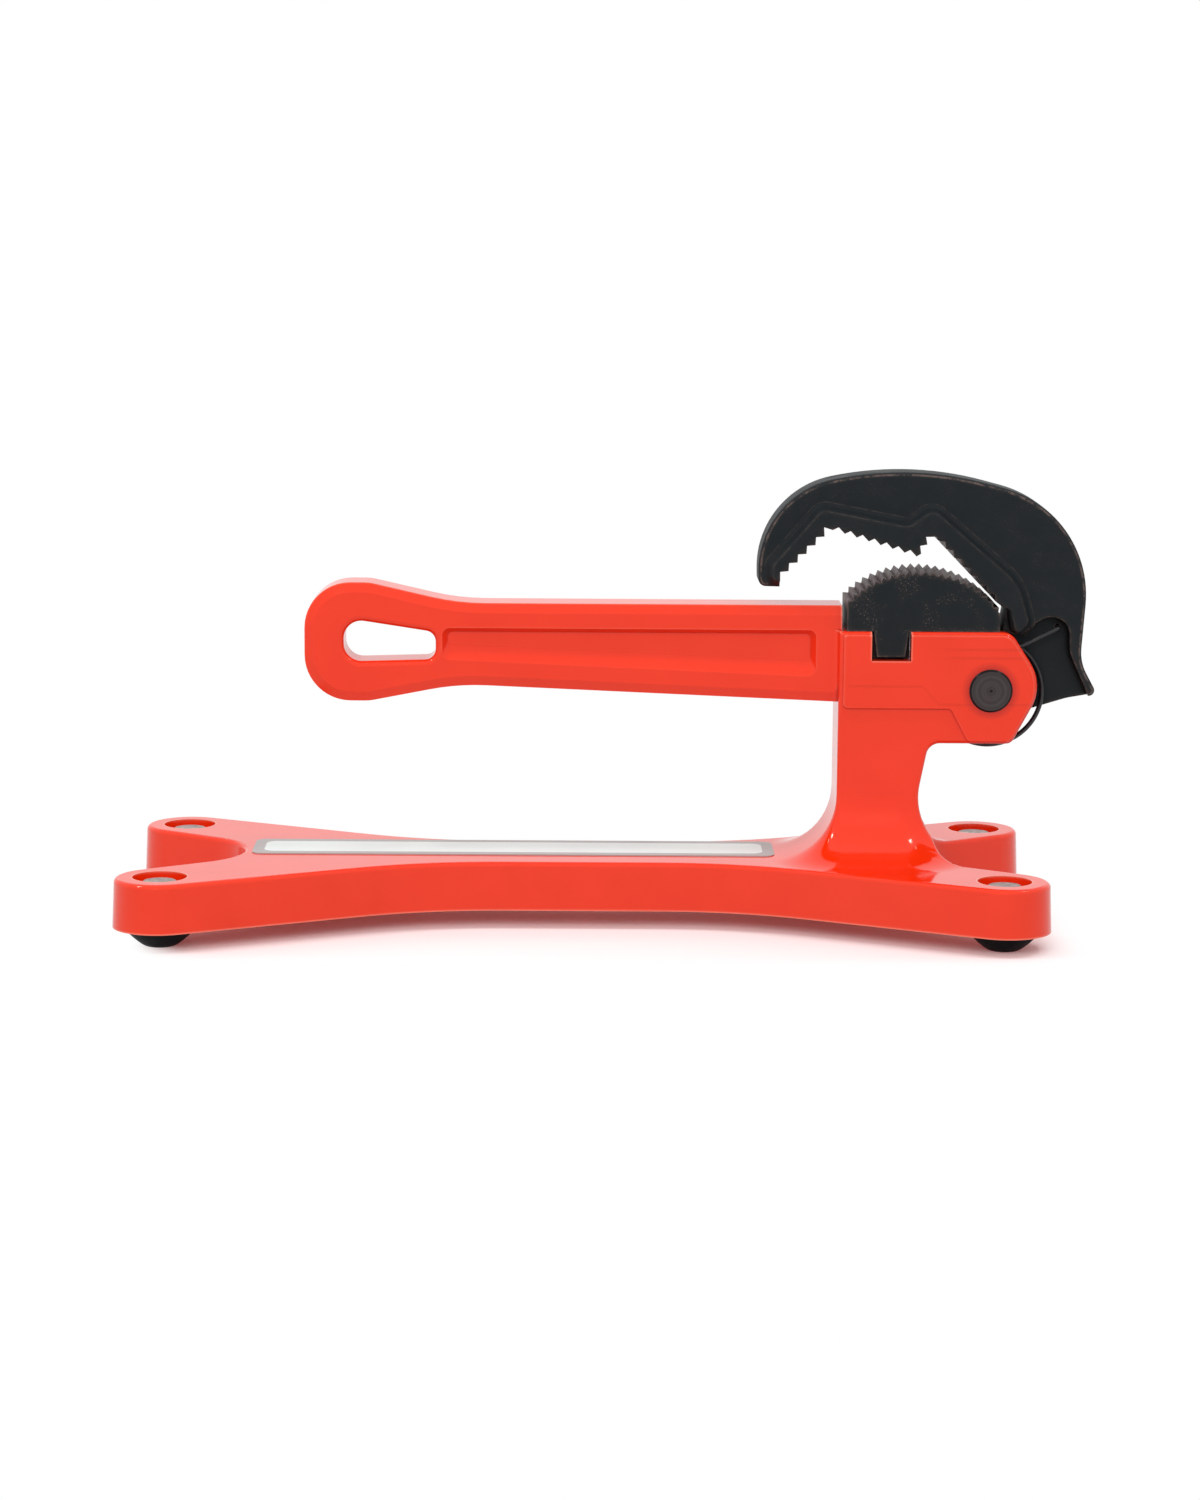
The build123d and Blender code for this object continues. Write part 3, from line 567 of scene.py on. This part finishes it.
# The fin on the heel jaw's tang, where the two forging dies met: it is trimmed to the width
# of the notch, so it centres the jaw and leaves no light through the notch.
notch_middle_back = 0.03685
notch_width = 0.0145
shoulder_above_pin = 0.0215
fin_side_gap = 0.00015
fin_top_gap = 0.0002
fin_height = 0.0104
fin_place_y = -0.0072
fin_half_thickness = 0.0019
fin_squareness = 0.22
fin_edge = 0.0003
fin_sides = 64
edge_rings = 5


def closed_rings(name, rings, material):
    """A closed surface through rings of points, each turning anticlockwise seen from its end.

    Four-sided faces join each ring to the next, and a fan about a ring's own middle closes
    either end.
    """
    count, around = rings.shape[:2]
    points = np.concatenate([rings.reshape(-1, 3), rings[[0, -1]].mean(axis=1)])
    number = np.arange(count * around).reshape(count, around)
    following = np.roll(number, -1, axis=1)
    sides = [number[:-1], following[:-1], following[1:], number[1:]]
    sides = np.stack(sides, axis=-1).reshape(-1, 4)
    low_middle = np.full(around, count * around)
    low_fan = np.stack([low_middle, following[0], number[0]], axis=-1)
    high_fan = np.stack([low_middle + 1, number[-1], following[-1]], axis=-1)
    mesh = bpy.data.meshes.new(name)
    mesh.from_pydata(points.tolist(), [], sides.tolist() + low_fan.tolist() + high_fan.tolist())
    mesh.materials.append(material)
    mesh.shade_smooth()
    piece = bpy.data.objects.new(name, mesh)
    bpy.context.scene.collection.objects.link(piece)
    return piece


def tang_fin():
    """A rounded bar: a superellipse in plan, pulled in by a quarter circle at either end."""
    turn = np.linspace(0, 2 * np.pi, fin_sides, endpoint=False)
    plan_x = np.sign(np.cos(turn)) * np.abs(np.cos(turn)) ** fin_squareness
    plan_y = np.sign(np.sin(turn)) * np.abs(np.sin(turn)) ** fin_squareness
    quarter = np.linspace(0, np.pi / 2, edge_rings)
    inset = fin_edge * np.concatenate([1 - np.sin(quarter), 1 - np.cos(quarter)])
    low_rise = fin_edge * (1 - np.cos(quarter))
    high_rise = fin_height - fin_edge * (1 - np.sin(quarter))
    fin_top = pin_middle.z + shoulder_above_pin - fin_top_gap
    rise = fin_top - fin_height + np.concatenate([low_rise, high_rise])
    half_width = notch_width / 2 - fin_side_gap - inset
    rings = np.empty((len(rise), len(turn), 3))
    rings[..., 0] = pin_middle.x - notch_middle_back + np.outer(half_width, plan_x)
    rings[..., 1] = fin_place_y + np.outer(fin_half_thickness - inset, plan_y)
    rings[..., 2] = rise[:, None]
    return rings


fin = closed_rings("heel_tang_fin", tang_fin(), nodes["heel_jaw"].data.materials[0])
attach(fin, "vise")

# The torsion spring: drawn music wire, blackened and oiled, coiled round the hub, with its
# long leg hooked into the jaw and its short leg in the head. It winds up as the hook opens.
# Drawing leaves faint streaks, and the oil gives it more shine than the forgings have.
wire_colour = (0.010, 0.010, 0.012, 1)
wire_rubbed = (0.055, 0.050, 0.050, 1)
wire_roughness = (0.28, 0.42)
wire_rubbed_tones = (0.52, 0.70)
wire_rubbed_most = 0.8
wire_bare_metal = 0.7
wire_streak_scale = 2600.0
wire_streak_depth = 0.000008
wire_swell_scale = 300.0
wire_radius = 0.00075
wire_sides = 16
wire_points = 800
coil_radius = 0.0200
coil_drop = 0.0014
coil_pitch = 0.0016
coil_start = math.radians(57.0)
coil_turns = 2.31
coil_points = 400
leg_hole_x = 0.0255
leg_hole_z = 0.0226
leg_lean = 1e-6
bend_points = 7


def averaged(path, width):
    """A path whose points are each the mean of their neighbours, apart from its ends."""
    half = width // 2
    window = np.ones(width) / width
    smooth = path.copy()
    middle = [np.convolve(path[:, axis], window, "valid") for axis in range(3)]
    smooth[half:-half] = np.stack(middle, axis=-1)
    return smooth


def spring_rings(low, high):
    """A round wire along a path: a leg along Y, a straight, a helix about the pin, a straight.

    The path is cut into equal lengths and averaged over a few points, which rounds its corners.
    Each ring stands square to the path, turned so that one of its axes lies in the XZ plane.
    The first leg has no direction in that plane, so it takes the next straight's.
    """
    front = low.y + wire_radius
    share = np.linspace(0, 1, coil_points)
    angle = coil_start + 2 * np.pi * coil_turns * share
    coil_x = pin_middle.x + coil_radius * np.cos(angle)
    coil_z = pin_middle.z - coil_drop + coil_radius * np.sin(angle)
    coil = np.stack([coil_x, front + coil_pitch * coil_turns * share, coil_z], axis=-1)
    bend = np.array([pin_middle.x + leg_hole_x, front, pin_middle.z + leg_hole_z])
    tip = np.array([bend[0], high.y, bend[2]])
    anchor = np.array([low.x, coil[-1, 1], coil[-1, 2]])
    corners = np.concatenate([[tip, bend], coil, [anchor]])
    lengths = np.linalg.norm(np.diff(corners, axis=0), axis=1)
    along = np.concatenate([[0], np.cumsum(lengths)])
    even = np.linspace(0, along[-1], wire_points)
    path = np.stack([np.interp(even, along, corners[:, axis]) for axis in range(3)], axis=-1)
    path = averaged(path, bend_points)
    ahead = np.gradient(path, axis=0)
    ahead /= np.linalg.norm(ahead, axis=1)[:, None]
    level = ahead + leg_lean * (coil[0] - bend)
    across = np.stack([-level[:, 2], np.zeros(len(level)), level[:, 0]], axis=-1)
    across /= np.linalg.norm(across, axis=1)[:, None]
    other = np.cross(ahead, across)
    turn = np.linspace(0, 2 * np.pi, wire_sides, endpoint=False)[None, :, None]
    spokes = across[:, None] * np.cos(turn) + other[:, None] * np.sin(turn)
    return path[:, None] + wire_radius * spokes


wire, tree, shader = new_material("spring_wire", Specular_IOR_Level=0.5)
streak_scales = {"Grain scale": wire_streak_scale, "Swell scale": wire_swell_scale}
streaks = use_group(tree, cast_skin, streak_scales)
worn_share = span(tree, streaks["Tone"], *wire_rubbed_tones, 0.0, wire_rubbed_most)
feed(tree, shader, Base_Color=blend_colours(tree, worn_share, wire_colour, wire_rubbed))
feed(tree, shader, Roughness=by_tone(tree, streaks, *wire_roughness))
feed(tree, shader, Metallic=times(tree, worn_share, wire_bare_metal))
add_relief(tree, shader, streaks["Height"], wire_streak_depth)

spring = closed_rings("hub_spring", spring_rings(*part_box("torsion_spring")), wire)
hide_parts("torsion_spring")
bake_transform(spring)

# The pivot pin: turned from dark steel bar and held by the washer and ring at the back. It is
# faced in the lathe, so fine rings run round its ends, with a tiny pip left in the middle and
# a dark rim at the chamfer.
pin_colour = (0.075, 0.062, 0.063, 1)
pin_ring_dark = (0.045, 0.036, 0.037, 1)
pin_rim_colour = (0.018, 0.016, 0.017, 1)
pin_roughness = (0.34, 0.44)
pin_rim_start = 0.0009
pin_rim_full = 0.0006
pin_ring_spacing = 0.00035
pin_ring_depth = 0.000006
ring_wander_scale = 350.0
band_rate = 0.35


def turned_face_group():
    """Rings left by a facing tool around the Z axis, as a height and as a tone.

    The rings are a sine of the distance from the axis, with a little noise along them.
    """
    group, entry, leave = new_group("turned_face", [
        ("Vector", "INPUT", "vector"),
        ("Spacing", "INPUT", 0.0004),
        ("Height", "OUTPUT", 0.0),
        ("Tone", "OUTPUT", 0.0),
    ])
    flat = reckon_vector(group, "MULTIPLY", entry["Vector"], (1, 1, 0))
    radius = reckon_vector(group, "LENGTH", flat, result="Value")
    wander = add_node(
        group, "TexNoise", {"Vector": entry["Vector"], "Scale": ring_wander_scale, "Detail": 2.0},
    ).outputs["Fac"]
    turns = reckon(group, "ADD", reckon(group, "DIVIDE", radius, entry["Spacing"]), wander)
    wave = reckon(group, "SINE", times(group, turns, 2 * math.pi))
    group.links.new(span(group, wave, -1.0, 1.0), leave["Height"])
    band = add_node(
        group, "TexNoise", {"W": times(group, turns, band_rate), "Scale": 1.0, "Detail": 3.0},
        noise_dimensions="1D",
    ).outputs["Fac"]
    group.links.new(span(group, band, *usual_tones), leave["Tone"])
    return group


turned_face = turned_face_group()
pin_steel, tree, shader = new_material(
    "pin_steel", Metallic=0.85, Anisotropic=0.8, Anisotropic_Rotation=0.25,
)
centred = reckon_vector(tree, "SUBTRACT", object_place(tree), pin_middle)
upright = add_node(tree, "Mapping", {"Vector": centred, "Rotation": (math.pi / 2, 0, 0)})
pin_face = {"Vector": upright.outputs[0], "Spacing": pin_ring_spacing}
rings = use_group(tree, turned_face, pin_face)
around = add_node(tree, "Tangent", direction_type="RADIAL", axis="Y")
pin_out = from_axis(tree, pin_middle.x, pin_middle.z)
rim_share = span(tree, pin_out, pin_radius - pin_rim_start, pin_radius - pin_rim_full)
colour = blend_colours(tree, rings["Tone"], pin_colour, pin_ring_dark)
colour = blend_colours(tree, rim_share, colour, pin_rim_colour)
feed(tree, shader, Base_Color=colour, Tangent=around.outputs[0])
feed(tree, shader, Roughness=span(tree, rings["Tone"], 0.0, 1.0, *pin_roughness))
add_relief(tree, shader, rings["Height"], pin_ring_depth)
finish_node("pivot_pin", pin_steel)

# The nuts that hold the feet, and the small parts at the back: the pin's washer and open
# ring, the heel jaw's key and the feet's studs. All are zinc-plated steel with a dull,
# slightly blotched plating; the nuts are turned, so rings run round their tops.
zinc_bright = (0.46, 0.45, 0.43, 1)
zinc_dull = (0.30, 0.29, 0.27, 1)
zinc_roughness = (0.38, 0.52)
zinc_grain_scale = 1400.0
zinc_grain_depth = 0.00001
zinc_swell_scale = 420.0
zinc_blotch_tones = (0.38, 0.62)
nut_roughness = (0.36, 0.50)
nut_ring_spacing = 0.0005
nut_ring_depth = 0.000012
nut_ring_share = 0.5


def zinc_plating(tree):
    """The plating's colour, its blotches as a share from 0 to 1, and its grain's height."""
    scales = {"Grain scale": zinc_grain_scale, "Swell scale": zinc_swell_scale}
    plating = use_group(tree, cast_skin, scales)
    blotch = span(tree, plating["Tone"], *zinc_blotch_tones)
    return blend_colours(tree, blotch, zinc_bright, zinc_dull), blotch, plating["Height"]


zinc, tree, shader = new_material("zinc_plate", Metallic=0.8)
colour, blotch, grain = zinc_plating(tree)
feed(tree, shader, Base_Color=colour, Roughness=span(tree, blotch, 0.0, 1.0, *zinc_roughness))
add_relief(tree, shader, grain, zinc_grain_depth)
studs = [name for name in nodes if name.startswith("foot_stud")]
for name in ["pin_washer", "pin_retaining_ring", "heel_jaw_key"] + studs:
    finish_node(name, zinc)

# One pattern serves the four nuts, folded about the middle of the base
foot_offset = (foot_middles[1].x - base_middle_x, foot_middles[2].y, 0)
nut_zinc, tree, shader = new_material("nut_zinc", Metallic=0.75)
from_middle = reckon_vector(tree, "SUBTRACT", object_place(tree), (base_middle_x, 0, 0))
folded = reckon_vector(tree, "ABSOLUTE", from_middle)
from_foot = reckon_vector(tree, "SUBTRACT", folded, foot_offset)
rings = use_group(tree, turned_face, {"Vector": from_foot, "Spacing": nut_ring_spacing})
colour, blotch, grain = zinc_plating(tree)
colour = blend_colours(tree, times(tree, rings["Tone"], nut_ring_share), colour, zinc_dull)
feed(tree, shader, Base_Color=colour, Roughness=span(tree, blotch, 0.0, 1.0, *nut_roughness))
add_relief(tree, shader, rings["Height"], nut_ring_depth)
for name in [name for name in nodes if name.startswith("foot_nut")]:
    finish_node(name, nut_zinc)

# The four feet: rubber buffers moulded around the studs' plates, black with a satin skin
# from the mould and a trace of dust low down where they meet the bench.
rubber_black = (0.0030, 0.0042, 0.0054, 1)
rubber_dusty = (0.014, 0.014, 0.014, 1)
rubber_gloss = 0.06
rubber_roughness = (0.46, 0.60)
rubber_grain_scale = 1800.0
rubber_grain_depth = 0.00003
rubber_swell_scale = 260.0
dust_height = 0.0016
dust_most = 0.6
dust_patches = (0.40, 0.62, 0.2, 1.0)
sole_radius = 0.0054
side_curve = 1.3
side_rise = 0.9
side_rings = 24
rim_edge = 0.0003
foot_sides = 96

rubber, tree, shader = new_material("foot_rubber", Specular_IOR_Level=rubber_gloss)
skin_scales = {"Grain scale": rubber_grain_scale, "Swell scale": rubber_swell_scale}
mould_skin = use_group(tree, cast_skin, skin_scales)
height = add_node(tree, "SeparateXYZ", {0: object_place(tree)}).outputs["Z"]
low_down = span(tree, height, dust_height, 0.0, 0.0, dust_most)
dusted = times(tree, low_down, span(tree, mould_skin["Tone"], *dust_patches))
feed(tree, shader, Base_Color=blend_colours(tree, dusted, rubber_black, rubber_dusty))
feed(tree, shader, Roughness=by_tone(tree, mould_skin, *rubber_roughness))
add_relief(tree, shader, mould_skin["Height"], rubber_grain_depth)


def foot_rings(low, high):
    """A bowl turned about an upright axis: its height is a power of its radius past the sole."""
    middle = middle_of(low, high)
    rim_radius = (high.x - low.x) / 2
    rise = high.z - low.z
    share = np.linspace(0, 1, side_rings)
    side_radius = sole_radius + (rim_radius - sole_radius) * share
    side_height = side_rise * rise * share ** side_curve
    quarter = np.linspace(0, np.pi / 2, edge_rings)
    rim_out = rim_radius - rim_edge * (1 - np.cos(quarter))
    rim_up = rise - rim_edge * (1 - np.sin(quarter))
    radius = np.concatenate([[sole_radius / 2], side_radius, rim_out, [rim_out[-1] - rim_edge]])
    height = np.concatenate([[0], side_height, rim_up, [rise]])
    turn = np.linspace(0, 2 * np.pi, foot_sides, endpoint=False)
    rings = np.empty((len(radius), len(turn), 3))
    rings[..., 0] = middle.x + np.outer(radius, np.cos(turn))
    rings[..., 1] = middle.y + np.outer(radius, np.sin(turn))
    rings[..., 2] = low.z + height[:, None]
    return rings


for name in foot_names:
    foot = closed_rings(f"rubber_{name}", foot_rings(*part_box(name)), rubber)
    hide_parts(name)
    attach(foot, "vise")

# The label: a white plastic film with rounded corners, stuck on the base, with a broad grey
# border printed inside its edge.
label_white = (0.80, 0.85, 0.83, 1)
label_grey = (0.40, 0.36, 0.35, 1)
label_roughness = (0.34, 0.42)
label_shade = 0.12
label_grain_scale = 500.0
label_grain_depth = 0.000012
label_swell_scale = 30.0
label_corner = 0.004
label_border = 0.0042
print_edge = 0.0001

label_low, label_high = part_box("label_plate")
panel_half = (label_high - label_low) / 2 - Vector((label_border, label_border, 0))
panel_corner = (panel_half.x - label_corner, panel_half.y - label_corner, 1.0)

film, tree, shader = new_material("label_film", Specular_IOR_Level=0.5)
centred = reckon_vector(tree, "SUBTRACT", object_place(tree), middle_of(label_low, label_high))
beyond = reckon_vector(tree, "SUBTRACT", reckon_vector(tree, "ABSOLUTE", centred), panel_corner)
outward = reckon_vector(tree, "MAXIMUM", beyond, (0, 0, 0))
from_corner = reckon_vector(tree, "LENGTH", outward, result="Value")
printed = span(tree, from_corner, label_corner - print_edge, label_corner + print_edge)
film_scales = {"Grain scale": label_grain_scale, "Swell scale": label_swell_scale}
film_skin = use_group(tree, cast_skin, film_scales)
colour = blend_colours(tree, printed, label_white, label_grey)
colour = blend_colours(tree, by_tone(tree, film_skin, 0.0, label_shade), colour, label_grey)
feed(tree, shader, Base_Color=colour, Roughness=by_tone(tree, film_skin, *label_roughness))
add_relief(tree, shader, film_skin["Height"], label_grain_depth)
finish_node("label_plate", film)
